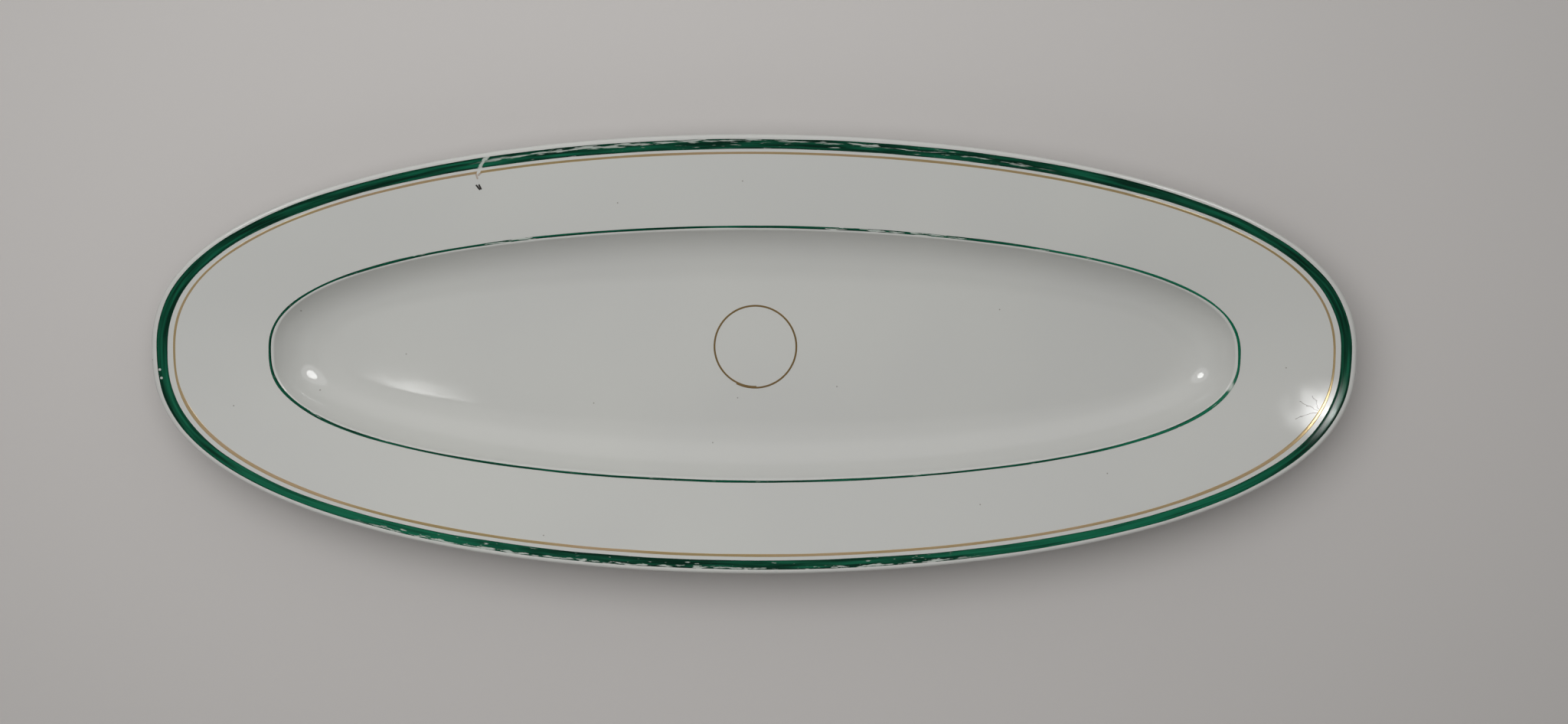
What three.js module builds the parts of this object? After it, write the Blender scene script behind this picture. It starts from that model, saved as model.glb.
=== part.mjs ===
// Long oval porcelain platter for serving a whole fish, standing on its foot ring.
// Millimetres, +Z up, +X along the platter. The origin is on the table, under the middle of the platter.
//
// Every skin of the platter is a revolved profile whose rings are pulled into ovals. The profile is drawn in
// the section along the platter, so a point's radius there is the half-length of its ring, and platterOval
// gives the half-width that goes with it. Body, glaze and paint share one chain of points, so each coat
// seats on the one below it face to face.
import * as THREE from 'three';

// Outline of the finished, glazed platter
const LENGTH = 600;
const WIDTH = 220;
const WELL_LENGTH = 485;
const WELL_WIDTH = 127.5;

// Fullness of the ovals: powers of 2 and 2 give an ellipse, and a higher power across gives blunter ends
const RIM_POWER_ALONG = 2.01;
const RIM_POWER_ACROSS = 2.39;
const WELL_POWER_ALONG = 1.89;
const WELL_POWER_ACROSS = 2.54;

// Section of the face: the well's depth and the run of its curved wall, then the shoulder and the flange
const WELL_DEPTH = 19;
const WALL_RUN = 28;
const SHOULDER_RADIUS = 3;
const FLANGE_RISE = 9;

// Thickness of the body
const FLOOR_THICKNESS = 5;
const WALL_THICKNESS = 4.5;
const LIP_THICKNESS = 3.6;
const UNDERSIDE_FILLET = 9;

// Foot ring: its outer wall stands a little outside the edge of the flat floor
const FOOT_HEIGHT = 3.5;
const FOOT_WIDTH = 5;
const FOOT_OUTSET = 5;
const FOOT_BEVEL = 0.7;
const FOOT_ROOT = 1.6;

// Coats
const GLAZE_THICKNESS = 0.3;
const ENAMEL_THICKNESS = 0.08;
const GOLD_THICKNESS = 0.05;

// Painted lines, measured at the ends of the platter. Along its sides they narrow with the flange.
const BAND_INSET = 2.9;
const BAND_WIDTH = 5.2;
const GOLD_LINE_GAP = 2.5;
const GOLD_LINE_WIDTH = 1.1;
const VERGE_LINE_SETBACK = 0.3;
const VERGE_LINE_WIDTH = 1.25;
const CENTRE_RING_DIAMETER = 42;
const CENTRE_RING_WIDTH = 0.95;

// The ring was banded by hand, a little to one side of the middle
const CENTRE_RING_OFFSET = 2.5;

// Facets: segments round the platter, and steps along each curve of the profile
const SEGMENTS = 52;
const WALL_STEPS = 6;
const SHOULDER_STEPS = 3;
const LIP_STEPS = 6;
const FILLET_STEPS = 3;
const UNDERSIDE_STEPS = 4;
const ROOT_STEPS = 2;

const RIM_HALF_LENGTH = LENGTH / 2;
const RIM_HALF_WIDTH = WIDTH / 2;
const WELL_HALF_LENGTH = WELL_LENGTH / 2;
const WELL_HALF_WIDTH = WELL_WIDTH / 2;

const { lerp } = THREE.MathUtils;
const at = (radius, height) => new THREE.Vector2(radius, height);

// Points along a circular arc
function arc(centre, radius, fromAngle, toAngle, steps, clockwise) {
  const curve = new THREE.EllipseCurve(centre.x, centre.y, radius, radius, fromAngle, toAngle, clockwise);
  return curve.getPoints(steps);
}

// A corner rounded off over a trimmed length of both its sides
function roundedCorner(before, corner, after, trim, steps) {
  const start = corner.clone().add(before.clone().sub(corner).setLength(trim));
  const end = corner.clone().add(after.clone().sub(corner).setLength(trim));
  return new THREE.QuadraticBezierCurve(start, corner, end).getPoints(steps);
}

// The unit normal on the left of the way from one point to the next
function leftNormal(from, to) {
  const way = to.clone().sub(from).normalize();
  return at(-way.y, way.x);
}

// A chain of points moved to its left by a distance, with mitred corners
function offsetLeft(chain, distance) {
  const last = chain.length - 1;
  return chain.map((here, i) => {
    const arriving = leftNormal(chain[Math.max(i - 1, 0)], chain[Math.max(i, 1)]);
    const leaving = leftNormal(chain[Math.min(i, last - 1)], chain[Math.min(i + 1, last)]);
    const mitre = arriving.clone().add(leaving).divideScalar(1 + arriving.dot(leaving));
    return here.clone().addScaledVector(mitre, distance);
  });
}

// Rings inside the well are insets of its edge. On the flange they grow evenly from the well to the rim.
function platterOval(halfLength) {
  const acrossFlange = (halfLength - WELL_HALF_LENGTH) / (RIM_HALF_LENGTH - WELL_HALF_LENGTH);
  const outward = Math.max(acrossFlange, 0);
  const inset = WELL_HALF_LENGTH - halfLength;
  const halfWidth = acrossFlange > 0
    ? lerp(WELL_HALF_WIDTH, RIM_HALF_WIDTH, acrossFlange)
    : Math.max(WELL_HALF_WIDTH - inset, 0);
  return {
    halfLength,
    halfWidth,
    powerAlong: lerp(WELL_POWER_ALONG, RIM_POWER_ALONG, outward),
    powerAcross: lerp(WELL_POWER_ACROSS, RIM_POWER_ACROSS, outward),
  };
}

const circle = (radius) => ({ halfLength: radius, halfWidth: radius, powerAlong: 2, powerAcross: 2 });

// The point of an oval at one of the segments, counted round from +X
function ovalPoint(oval, segment) {
  const turn = (segment % SEGMENTS) / SEGMENTS * 2 * Math.PI;
  const across = Math.sin(turn);
  const along = Math.max(1 - Math.abs(across) ** oval.powerAcross, 0) ** (1 / oval.powerAlong);
  return [oval.halfLength * along * Math.sign(Math.cos(turn)), oval.halfWidth * across];
}

// A profile revolved and pulled into ovals. It runs anticlockwise in its section, from the axis and back to
// it, or closed on itself. Each facet is split from its inner point to the next segment's outer point,
// whichever way the profile runs, so two solids that share a stretch of profile share its facets too.
function ovalSolid(profile, ovalAt = platterOval) {
  const geometry = new THREE.LatheGeometry(profile, SEGMENTS);
  const position = geometry.getAttribute('position');
  const vertex = (segment, i) => segment * profile.length + i;
  const ovals = profile.map((p) => ovalAt(p.x));
  for (let segment = 0; segment <= SEGMENTS; segment++) {
    profile.forEach((p, i) => {
      const [x, y] = ovalPoint(ovals[i], segment);
      position.setXYZ(vertex(segment, i), x, y, p.y);
    });
  }
  const faces = [];
  for (let segment = 0; segment < SEGMENTS; segment++) {
    for (let i = 0; i + 1 < profile.length; i++) {
      const a = vertex(segment, i);
      const b = vertex(segment + 1, i);
      const c = vertex(segment + 1, i + 1);
      const d = vertex(segment, i + 1);
      const outgoing = profile[i + 1].x - profile[i].x || profile[i + 1].y - profile[i].y;
      if (profile[i].x === 0) faces.push(a, c, d);
      else if (profile[i + 1].x === 0) faces.push(a, b, d);
      else if (outgoing > 0) faces.push(a, b, c, a, c, d);
      else faces.push(a, b, d, b, c, d);
    }
  }
  geometry.setIndex(faces);
  geometry.computeVertexNormals();
  return geometry;
}

// Heights and slopes of the section
const floorHeight = FOOT_HEIGHT + FLOOR_THICKNESS;
const wellEdge = at(WELL_HALF_LENGTH, floorHeight + WELL_DEPTH);
const lipRadius = LIP_THICKNESS / 2;
const lipCentreRadius = RIM_HALF_LENGTH - GLAZE_THICKNESS - lipRadius;
const flangeSlope = Math.atan2(FLANGE_RISE, lipCentreRadius - wellEdge.x);
const flangeUp = at(-Math.sin(flangeSlope), Math.cos(flangeSlope));

// The wall is one arc that leaves the flat floor level, and the shoulder turns it back to the flange's slope
const wallReach = WALL_RUN + SHOULDER_RADIUS * Math.sin(flangeSlope);
const wallClimb = WELL_DEPTH + SHOULDER_RADIUS * (1 - Math.cos(flangeSlope));
const wallSlope = 2 * Math.atan2(wallClimb, wallReach);
const wallRadius = wallReach / Math.sin(wallSlope) - SHOULDER_RADIUS;
const floorEdge = WELL_HALF_LENGTH - WALL_RUN;
const wallCentre = at(floorEdge, floorHeight + wallRadius);
const shoulderCentre = wellEdge.clone().addScaledVector(flangeUp, -SHOULDER_RADIUS);

// A point of the flange's face, by its half-length
const onFlange = (halfLength) => at(halfLength, wellEdge.y + (halfLength - wellEdge.x) * Math.tan(flangeSlope));

const lipTop = onFlange(lipCentreRadius - lipRadius * Math.sin(flangeSlope));
const lipCentre = lipTop.clone().addScaledVector(flangeUp, -lipRadius);
const lipBottom = lipCentre.clone().addScaledVector(flangeUp, -lipRadius);

// The underside of the flange thickens from the lip to the shoulder, and a fillet takes it into the wall
const underShoulder = wellEdge.clone().addScaledVector(flangeUp, -WALL_THICKNESS);
const undersideWay = underShoulder.clone().sub(lipBottom).normalize();
const undersideDown = leftNormal(lipBottom, underShoulder);
const outerWallRadius = wallRadius + WALL_THICKNESS;
const filletCentre = filletBetweenFlangeAndWall();

function filletBetweenFlangeAndWall() {
  const start = lipBottom.clone().addScaledVector(undersideDown, UNDERSIDE_FILLET);
  const toWall = start.clone().sub(wallCentre);
  const reach = outerWallRadius + UNDERSIDE_FILLET;
  const half = toWall.dot(undersideWay);
  const travel = -half - Math.sqrt(half * half - toWall.lengthSq() + reach * reach);
  return start.addScaledVector(undersideWay, travel);
}

const footOuter = floorEdge + FOOT_OUTSET;
const footInner = footOuter - FOOT_WIDTH;
const footOuterAngle = -Math.PI / 2 + Math.asin(FOOT_OUTSET / outerWallRadius);
const footOuterRoot = at(footOuter, wallCentre.y + outerWallRadius * Math.sin(footOuterAngle));
const footOuterEdge = at(footOuter, FOOT_BEVEL);
const footInnerRoot = at(footInner, FOOT_HEIGHT);
const footInnerEdge = at(footInner, FOOT_BEVEL);

// Edges of the painted lines on the flange, by half-length
const bandOuter = RIM_HALF_LENGTH - BAND_INSET;
const bandInner = bandOuter - BAND_WIDTH;
const goldOuter = bandInner - GOLD_LINE_GAP;
const goldInner = goldOuter - GOLD_LINE_WIDTH;
const vergeInner = WELL_HALF_LENGTH + VERGE_LINE_SETBACK;
const vergeOuter = vergeInner + VERGE_LINE_WIDTH;
const lineEdges = [vergeInner, vergeOuter, goldInner, goldOuter, bandInner, bandOuter].map(onFlange);

// The glazed skin of the body: up the well's wall, out over the flange and lip, and back under to the foot
function skinChain() {
  const wall = arc(wallCentre, wallRadius, -Math.PI / 2, wallSlope - Math.PI / 2, WALL_STEPS, false);
  const shoulder = arc(shoulderCentre, SHOULDER_RADIUS, Math.PI / 2 + wallSlope, Math.PI / 2 + flangeSlope,
    SHOULDER_STEPS, true);
  const lip = arc(lipCentre, lipRadius, Math.PI / 2 + flangeSlope, flangeSlope - Math.PI / 2, LIP_STEPS, true);
  const towardFlange = undersideDown.clone().negate();
  const towardWall = wallCentre.clone().sub(filletCentre);
  const fillet = arc(filletCentre, UNDERSIDE_FILLET, towardFlange.angle(), towardWall.angle(), FILLET_STEPS, false);
  const outerWall = arc(wallCentre, outerWallRadius, towardWall.angle() + Math.PI, footOuterAngle,
    UNDERSIDE_STEPS, true).slice(1, -1);
  const root = roundedCorner(outerWall.at(-1), footOuterRoot, footOuterEdge, FOOT_ROOT, ROOT_STEPS);
  return [at(0, floorHeight), ...wall, ...shoulder.slice(1), ...lineEdges, ...lip, ...fillet, ...outerWall,
    ...root, footOuterEdge];
}

// The glazed skin inside the foot ring, from the middle out
function baseChain() {
  const middle = at(0, FOOT_HEIGHT);
  const root = roundedCorner(middle, footInnerRoot, footInnerEdge, FOOT_ROOT, ROOT_STEPS);
  return [middle, ...root, footInnerEdge];
}

const skin = skinChain();
const base = baseChain();
const glazedSkin = offsetLeft(skin, GLAZE_THICKNESS);
const glazedBase = offsetLeft(base, -GLAZE_THICKNESS);

// The bare edge that the platter stands on
const footContact = [at(footInner + FOOT_BEVEL, 0), at(footOuter - FOOT_BEVEL, 0)];

// A coat of paint on the glazed flange, between two edges
function paintedLine(innerEdge, outerEdge, thickness) {
  const first = skin.indexOf(lineEdges.find((p) => p.x === innerEdge));
  const last = skin.indexOf(lineEdges.find((p) => p.x === outerEdge));
  const under = glazedSkin.slice(first, last + 1);
  const over = offsetLeft(under, thickness);
  return ovalSolid([...under, ...over.reverse(), under[0]]);
}

// A round coat of gold on the flat of the floor
function centreRing() {
  const middle = CENTRE_RING_DIAMETER / 2;
  const inner = middle - CENTRE_RING_WIDTH / 2;
  const outer = middle + CENTRE_RING_WIDTH / 2;
  const bottom = glazedSkin[0].y;
  const top = bottom + GOLD_THICKNESS;
  const section = [at(inner, bottom), at(outer, bottom), at(outer, top), at(inner, top), at(inner, bottom)];
  return ovalSolid(section, circle).translate(0, CENTRE_RING_OFFSET, 0);
}

function piece(name, geometry, color, roughness, metalness) {
  const mesh = new THREE.Mesh(geometry, new THREE.MeshStandardMaterial({ color, roughness, metalness }));
  mesh.name = name;
  return mesh;
}

const platter = new THREE.Group();
platter.add(
  piece('porcelain_body', ovalSolid([...base, ...footContact, ...[...skin].reverse()]), 0xe6e2d8, 0.8, 0),
  piece('glaze_coat', ovalSolid([...skin, ...[...glazedSkin].reverse()]), 0xd9dbd5, 0.1, 0),
  piece('glaze_base', ovalSolid([...glazedBase, ...[...base].reverse()]), 0xd9dbd5, 0.1, 0),
  piece('green_rim_band', paintedLine(bandInner, bandOuter, ENAMEL_THICKNESS), 0x0f5c3e, 0.25, 0),
  piece('gold_rim_line', paintedLine(goldInner, goldOuter, GOLD_THICKNESS), 0xb08d57, 0.35, 1),
  piece('green_verge_line', paintedLine(vergeInner, vergeOuter, ENAMEL_THICKNESS), 0x12553a, 0.25, 0),
  piece('gold_centre_ring', centreRing(), 0xa08250, 0.4, 1),
);

export default platter;
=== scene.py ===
# %% [markdown]
# # A porcelain fish platter
# The real platter is one piece of white porcelain, shaped in a mould and dipped in glaze all over but for
# the edge of its foot. A painter then banded it by hand: a broad green band near the rim, a thin gold
# line inside it, a thin green line on the verge of the well, and a small gold ring in the middle of the
# floor. The frame that we load holds those pieces at their real size and place, in flat facets. This
# lesson makes each of them again as a smooth surface in the same place, with the finish and the wear of
# an old platter. The frame comes first, and we keep its box, because nothing made here may outgrow it.

# %% Load the frame
import math

import bpy
from mathutils import Matrix, Vector


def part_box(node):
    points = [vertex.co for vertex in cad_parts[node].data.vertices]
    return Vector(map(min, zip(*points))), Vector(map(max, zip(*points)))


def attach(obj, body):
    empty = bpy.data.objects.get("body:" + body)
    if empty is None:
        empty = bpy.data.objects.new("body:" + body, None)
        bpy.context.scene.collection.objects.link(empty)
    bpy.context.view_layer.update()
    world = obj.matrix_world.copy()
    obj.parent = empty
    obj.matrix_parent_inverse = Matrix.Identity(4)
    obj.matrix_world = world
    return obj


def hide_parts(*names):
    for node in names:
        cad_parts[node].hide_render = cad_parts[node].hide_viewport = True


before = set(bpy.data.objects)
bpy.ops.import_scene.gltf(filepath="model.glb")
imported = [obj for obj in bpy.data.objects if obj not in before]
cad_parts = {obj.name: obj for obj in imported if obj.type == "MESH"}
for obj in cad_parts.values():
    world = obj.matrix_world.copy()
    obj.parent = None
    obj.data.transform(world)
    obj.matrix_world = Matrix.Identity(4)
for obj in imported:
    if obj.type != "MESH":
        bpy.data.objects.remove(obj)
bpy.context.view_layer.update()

# %% [markdown]
# ## The camera
# The platter lies on the floor here, and the photograph looks almost straight down on its face, so the
# camera hangs above it and leans a little towards +Y. A lens can be guessed and nudged until it looks
# right, but it is better worked out: the focal length in pixels over the picture's width in pixels is the
# focal length in millimetres over the sensor's width, so the framing holds at any render size.

# %% Hang the camera at the photograph's viewing angle
scene = bpy.context.scene
scene.view_settings.view_transform = "Standard"

PICTURE_WIDTH_PIXELS = 2048
FOCAL_LENGTH_PIXELS = 2300
VIEW_TILT = math.radians(6.0)
VIEW_ROLL = math.radians(-0.21)
VIEW_DISTANCE = 0.876
VIEW_CENTRE = Vector((0.0148, -0.0025, 0.0363))

lens = bpy.data.cameras.new("view_from_above")
lens.lens = FOCAL_LENGTH_PIXELS / PICTURE_WIDTH_PIXELS * lens.sensor_width
view_turn = Matrix.Rotation(-VIEW_TILT, 4, "X") @ Matrix.Rotation(-VIEW_ROLL, 4, "Z")
view_back = view_turn.to_3x3() @ Vector((0, 0, 1))

camera = bpy.data.objects.new("view_from_above", lens)
camera.matrix_world = Matrix.Translation(VIEW_CENTRE + view_back * VIEW_DISTANCE) @ view_turn
scene.collection.objects.link(camera)
scene.camera = camera
print("Lens:", round(lens.lens, 2), "mm, at", [round(v, 3) for v in camera.matrix_world.translation])

# %% [markdown]
# ## Two small helpers for nodes
# Shaders and Geometry Nodes are both trees of nodes, and maths in them soon takes dozens of links. We
# wrap a socket in a class whose operators add Math nodes, so that `1 - mask` in Python becomes a node in
# the tree. Every other node comes from one method: its type, its settings, and what its sockets hold or
# link to.

# %% Wrap sockets so that Python sums become nodes
class Wire:
    """A node's output. Sums of wires and numbers add Math nodes to the same tree."""

    def __init__(self, nodes, output):
        self.nodes = nodes
        self.output = output

    def maths(self, operation, *terms):
        """A Math node on the given terms, in their order."""
        sockets = dict(enumerate(terms))
        return self.nodes.add("ShaderNodeMath", {"operation": operation}, sockets)

    def __add__(self, other):
        return self.maths("ADD", self, other)

    def __radd__(self, other):
        return self.maths("ADD", other, self)

    def __sub__(self, other):
        return self.maths("SUBTRACT", self, other)

    def __rsub__(self, other):
        return self.maths("SUBTRACT", other, self)

    def __mul__(self, other):
        return self.maths("MULTIPLY", self, other)

    def __rmul__(self, other):
        return self.maths("MULTIPLY", other, self)

    def __truediv__(self, other):
        return self.maths("DIVIDE", self, other)

    def __rtruediv__(self, other):
        return self.maths("DIVIDE", other, self)

    def __pow__(self, other):
        return self.maths("POWER", self, other)

    def __abs__(self):
        return self.apply("ABSOLUTE")

    def apply(self, operation):
        """A Math node on this wire alone, such as SINE or ROUND."""
        return self.maths(operation, self)

    def at_least(self, other):
        return self.maths("MAXIMUM", self, other)

    def at_most(self, other):
        return self.maths("MINIMUM", self, other)

    def rise(self, low, high):
        """0 up to low, 1 from high on, and a smooth rise between them."""
        settings = {"interpolation_type": "SMOOTHSTEP"}
        sockets = {"Value": self, "From Min": low, "From Max": high}
        return self.nodes.add("ShaderNodeMapRange", settings, sockets)

    def fall(self, low, high):
        return 1 - self.rise(low, high)


class Nodes:
    """A node tree, with one way to add a node to it."""

    def __init__(self, tree):
        self.tree = tree

    def add(self, kind, settings=None, sockets=None, output=0):
        """A node of that type. Its settings come first, then its sockets, by name or number."""
        node = self.tree.nodes.new(kind)
        for name, value in (settings or {}).items():
            setattr(node, name, value)
        for name, value in (sockets or {}).items():
            if isinstance(value, Wire):
                self.tree.links.new(value.output, node.inputs[name])
            else:
                node.inputs[name].default_value = value
        return Wire(self, node.outputs[output]) if node.outputs else None

    def split(self, vector):
        """The three parts of a vector."""
        parts = self.add("ShaderNodeSeparateXYZ", {}, {"Vector": vector}).output.node
        return [Wire(self, output) for output in parts.outputs]


print("Helpers ready:", Wire.__name__, "and", Nodes.__name__)

# %% [markdown]
# ## The section of the platter
# A mould for a platter is turned from a section: flat floor, curved wall, a small shoulder, a sloping
# flange, a round lip, and back underneath to the foot. We could trace that outline by eye, but arcs and
# tangents describe it with a handful of sizes. The large ones are read off the frame's boxes, so that the
# smooth platter lies where the faceted one does. Only its shoulder is drawn a little crisper. Lengths are
# in metres. A section's points hold the half-length of their ring along the platter, and their height
# above the table.

# %% Read the large sizes off the frame
_, glaze_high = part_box("glaze_coat")
base_low, base_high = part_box("glaze_base")
_, band_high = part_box("green_rim_band")
_, verge_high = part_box("green_verge_line")
ring_low, ring_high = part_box("gold_centre_ring")

GLAZE_THICKNESS = 0.0003
ENAMEL_THICKNESS = 0.00008
GOLD_THICKNESS = 0.00005
VERGE_LINE_TO_WELL = 0.00155

flange_slope = math.atan2(band_high.z - verge_high.z, band_high.x - verge_high.x)
flange_up = Vector((-math.sin(flange_slope), math.cos(flange_slope)))
floor_height = ring_low.z - GLAZE_THICKNESS

glazed_verge = Vector((verge_high.x, verge_high.z - ENAMEL_THICKNESS * flange_up.y))
bare_verge = glazed_verge - GLAZE_THICKNESS * flange_up
well_edge = bare_verge - VERGE_LINE_TO_WELL * Vector((1, math.tan(flange_slope)))

spread = (glaze_high.y - verge_high.y) / (glaze_high.x - verge_high.x)
rim_half_length = glaze_high.x
rim_half_width = glaze_high.y
well_half_length = well_edge.x
well_half_width = verge_high.y - spread * (verge_high.x - well_half_length)
print("Rim", round(2 * rim_half_length, 4), "by", round(2 * rim_half_width, 4))
print("Well", round(2 * well_half_length, 4), "by", round(2 * well_half_width, 4))
print("Flange rises at", round(math.degrees(flange_slope), 2), "degrees")


# %% Draw arcs, corners and offsets in the section
def arc(centre, radius, start, end, steps):
    """Points along a circular arc, from one angle to another."""
    angles = [start + (end - start) * i / steps for i in range(steps + 1)]
    return [centre + radius * Vector((math.cos(a), math.sin(a))) for a in angles]


def line(start, end, steps):
    """Points along a straight stretch."""
    return [start.lerp(end, i / steps) for i in range(steps + 1)]


def rounded_corner(before, corner, after, trim, steps):
    """A corner rounded off over a trimmed length of both its sides."""
    start = corner + (before - corner).normalized() * trim
    end = corner + (after - corner).normalized() * trim
    arriving = line(start, corner, steps)
    leaving = line(corner, end, steps)
    return [a.lerp(b, i / steps) for i, (a, b) in enumerate(zip(arriving, leaving))]


def left_of(start, end):
    """The unit normal on the left of the way from one point to the next."""
    way = (end - start).normalized()
    return Vector((-way.y, way.x))


def moved_left(chain, distance):
    """A chain of points moved to its left, with mitred corners."""
    moved = []
    last = len(chain) - 1
    for i, here in enumerate(chain):
        arriving = left_of(chain[max(i - 1, 0)], chain[max(i, 1)])
        leaving = left_of(chain[min(i, last - 1)], chain[min(i + 1, last)])
        mitre = (arriving + leaving) / (1 + arriving.dot(leaving))
        moved.append(here + mitre * distance)
    return moved


print("Helpers ready:", arc.__name__, line.__name__, rounded_corner.__name__, moved_left.__name__)

# %% Find the centres of the section's arcs
WALL_RUN = 0.028
SHOULDER_RADIUS = 0.0012
WALL_THICKNESS = 0.0045
LIP_THICKNESS = 0.0036
UNDERSIDE_FILLET = 0.009
FOOT_WIDTH = 0.005
FOOT_ROOT = 0.0016

RIGHT_ANGLE = math.pi / 2
floor_edge = well_half_length - WALL_RUN
foot_inner = base_high.x
foot_outer = foot_inner + FOOT_WIDTH
foot_height = base_high.z
foot_bevel = base_low.z

wall_reach = WALL_RUN + SHOULDER_RADIUS * math.sin(flange_slope)
wall_climb = well_edge.y - floor_height + SHOULDER_RADIUS * (1 - math.cos(flange_slope))
wall_slope = 2 * math.atan2(wall_climb, wall_reach)
wall_radius = wall_reach / math.sin(wall_slope) - SHOULDER_RADIUS
wall_centre = Vector((floor_edge, floor_height + wall_radius))
outer_wall_radius = wall_radius + WALL_THICKNESS
shoulder_centre = well_edge - SHOULDER_RADIUS * flange_up

lip_radius = LIP_THICKNESS / 2
lip_top_length = rim_half_length - GLAZE_THICKNESS - lip_radius * (1 + math.sin(flange_slope))
lip_top = well_edge + (lip_top_length - well_edge.x) * Vector((1, math.tan(flange_slope)))
lip_centre = lip_top - lip_radius * flange_up
lip_bottom = lip_centre - lip_radius * flange_up
print("Wall radius", round(wall_radius, 4), "and", round(math.degrees(wall_slope), 1), "degrees at its top")

# %% Join the runs of the section
STRAIGHT_STEPS = 10
WALL_STEPS = 28
SHOULDER_STEPS = 10
LIP_STEPS = 14
UNDERSIDE_STEPS = 6
FILLET_STEPS = 10
OUTER_WALL_STEPS = 14
ROOT_STEPS = 6
LAST_FLAT_RING = 0.98


def fillet_under_flange():
    """Centre of the fillet that takes the underside of the flange into the outer wall."""
    under_shoulder = well_edge - WALL_THICKNESS * flange_up
    inward = (under_shoulder - lip_bottom).normalized()
    downward = left_of(lip_bottom, under_shoulder)
    start = lip_bottom + UNDERSIDE_FILLET * downward
    from_wall = start - wall_centre
    reach = outer_wall_radius + UNDERSIDE_FILLET
    along = from_wall.dot(inward)
    travel = -along - math.sqrt(along * along - from_wall.length_squared + reach * reach)
    return start + travel * inward, downward


def angle_of(way):
    return math.atan2(way.y, way.x)


def glazed_skin_of_body():
    """The body's skin under the glaze: up the wall, out over flange and lip, and back under to the foot."""
    fillet_centre, downward = fillet_under_flange()
    to_wall = wall_centre - fillet_centre
    foot_angle = -RIGHT_ANGLE + math.asin((foot_outer - floor_edge) / outer_wall_radius)
    foot_root = wall_centre + outer_wall_radius * Vector((math.cos(foot_angle), math.sin(foot_angle)))
    foot_edge = Vector((foot_outer, foot_bevel))
    flange_angle = RIGHT_ANGLE + flange_slope
    last_flat = Vector((LAST_FLAT_RING * floor_edge, floor_height))
    floor = line(Vector((0, floor_height)), last_flat, STRAIGHT_STEPS)
    floor = floor + [Vector((floor_edge, floor_height))]
    wall = arc(wall_centre, wall_radius, -RIGHT_ANGLE, wall_slope - RIGHT_ANGLE, WALL_STEPS)
    shoulder = arc(shoulder_centre, SHOULDER_RADIUS, RIGHT_ANGLE + wall_slope, flange_angle, SHOULDER_STEPS)
    flange = line(well_edge, lip_top, STRAIGHT_STEPS)
    lip = arc(lip_centre, lip_radius, flange_angle, flange_slope - RIGHT_ANGLE, LIP_STEPS)
    underside = line(lip_bottom, fillet_centre - UNDERSIDE_FILLET * downward, UNDERSIDE_STEPS)
    fillet = arc(fillet_centre, UNDERSIDE_FILLET, angle_of(-downward), angle_of(to_wall), FILLET_STEPS)
    outer_wall = arc(wall_centre, outer_wall_radius, angle_of(-to_wall), foot_angle, OUTER_WALL_STEPS)[:-1]
    root = rounded_corner(outer_wall[-1], foot_root, foot_edge, FOOT_ROOT, ROOT_STEPS)
    joined = [run[1:] for run in (wall, shoulder, flange, lip, underside, fillet, outer_wall)]
    return [point for run in (floor, *joined, root) for point in run] + [foot_edge]


def base_of_body():
    """The body's skin inside the foot ring, from the middle out."""
    middle = Vector((0, foot_height))
    corner = Vector((foot_inner, foot_height))
    foot_edge = Vector((foot_inner, foot_bevel))
    root = rounded_corner(middle, corner, foot_edge, FOOT_ROOT, ROOT_STEPS)
    return line(middle, root[0], STRAIGHT_STEPS) + root[1:] + [foot_edge]


skin = glazed_skin_of_body()
glazed_skin = moved_left(skin, GLAZE_THICKNESS)
base = base_of_body()
glazed_base = moved_left(base, -GLAZE_THICKNESS)
print("Section:", len(skin), "points over the face and underside,", len(base), "inside the foot")
lip_height = max(point.y for point in glazed_skin)
print("Top of the lip at", round(lip_height, 5), "and in the frame", round(glaze_high.z, 5))

# %% [markdown]
# ## Rings pulled into ovals
# A round plate is spun from its section. This platter is long, so each ring of the spin has to become an
# oval, and the ovals change from a slim one at the well to a fuller one at the rim. One could scale a
# spun plate, but then the wall would be steep at the sides and lazy at the ends. Geometry Nodes can
# follow the real rule instead: in the well each ring is an even inset of the well's edge, and on the
# flange the rings grow evenly from the well to the rim. The tree takes a section as loose points, lays a
# grid with one row for each point, and moves every grid point to its place on its oval. All the skins
# share this tree.

# %% Build the tree that pulls rings into ovals
oval_tree = bpy.data.node_groups.new("Rings pulled into ovals", "GeometryNodeTree")
oval_inputs = {}
SEGMENTS_ROUND = 320


def tree_input(tree, name, kind):
    """A named input of a tree. Returns the identifier that a modifier sets it by."""
    return tree.interface.new_socket(name=name, in_out="INPUT", socket_type=kind).identifier


oval_tree.interface.new_socket(name="Geometry", in_out="OUTPUT", socket_type="NodeSocketGeometry")
tree_input(oval_tree, "Section", "NodeSocketGeometry")
oval_inputs["Segments"] = tree_input(oval_tree, "Segments", "NodeSocketInt")
oval_inputs["Material"] = tree_input(oval_tree, "Material", "NodeSocketMaterial")
OVAL_SIZES = (
    "Rim Half Length", "Rim Half Width", "Well Half Length", "Well Half Width", "Floor Half Length",
    "Rim Power Along", "Rim Power Across", "Well Power Along", "Well Power Across",
    "Flange Slope", "Hand Wobble", "Wobbles Per Metre", "Seed",
    "Far Side Broadening", "Near Side Broadening", "Near Ends Broadening", "Shoulder Drop",
)
for size_name in OVAL_SIZES:
    oval_inputs[size_name] = tree_input(oval_tree, size_name, "NodeSocketFloat")
print("Oval tree inputs:", ", ".join(oval_inputs))


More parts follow.
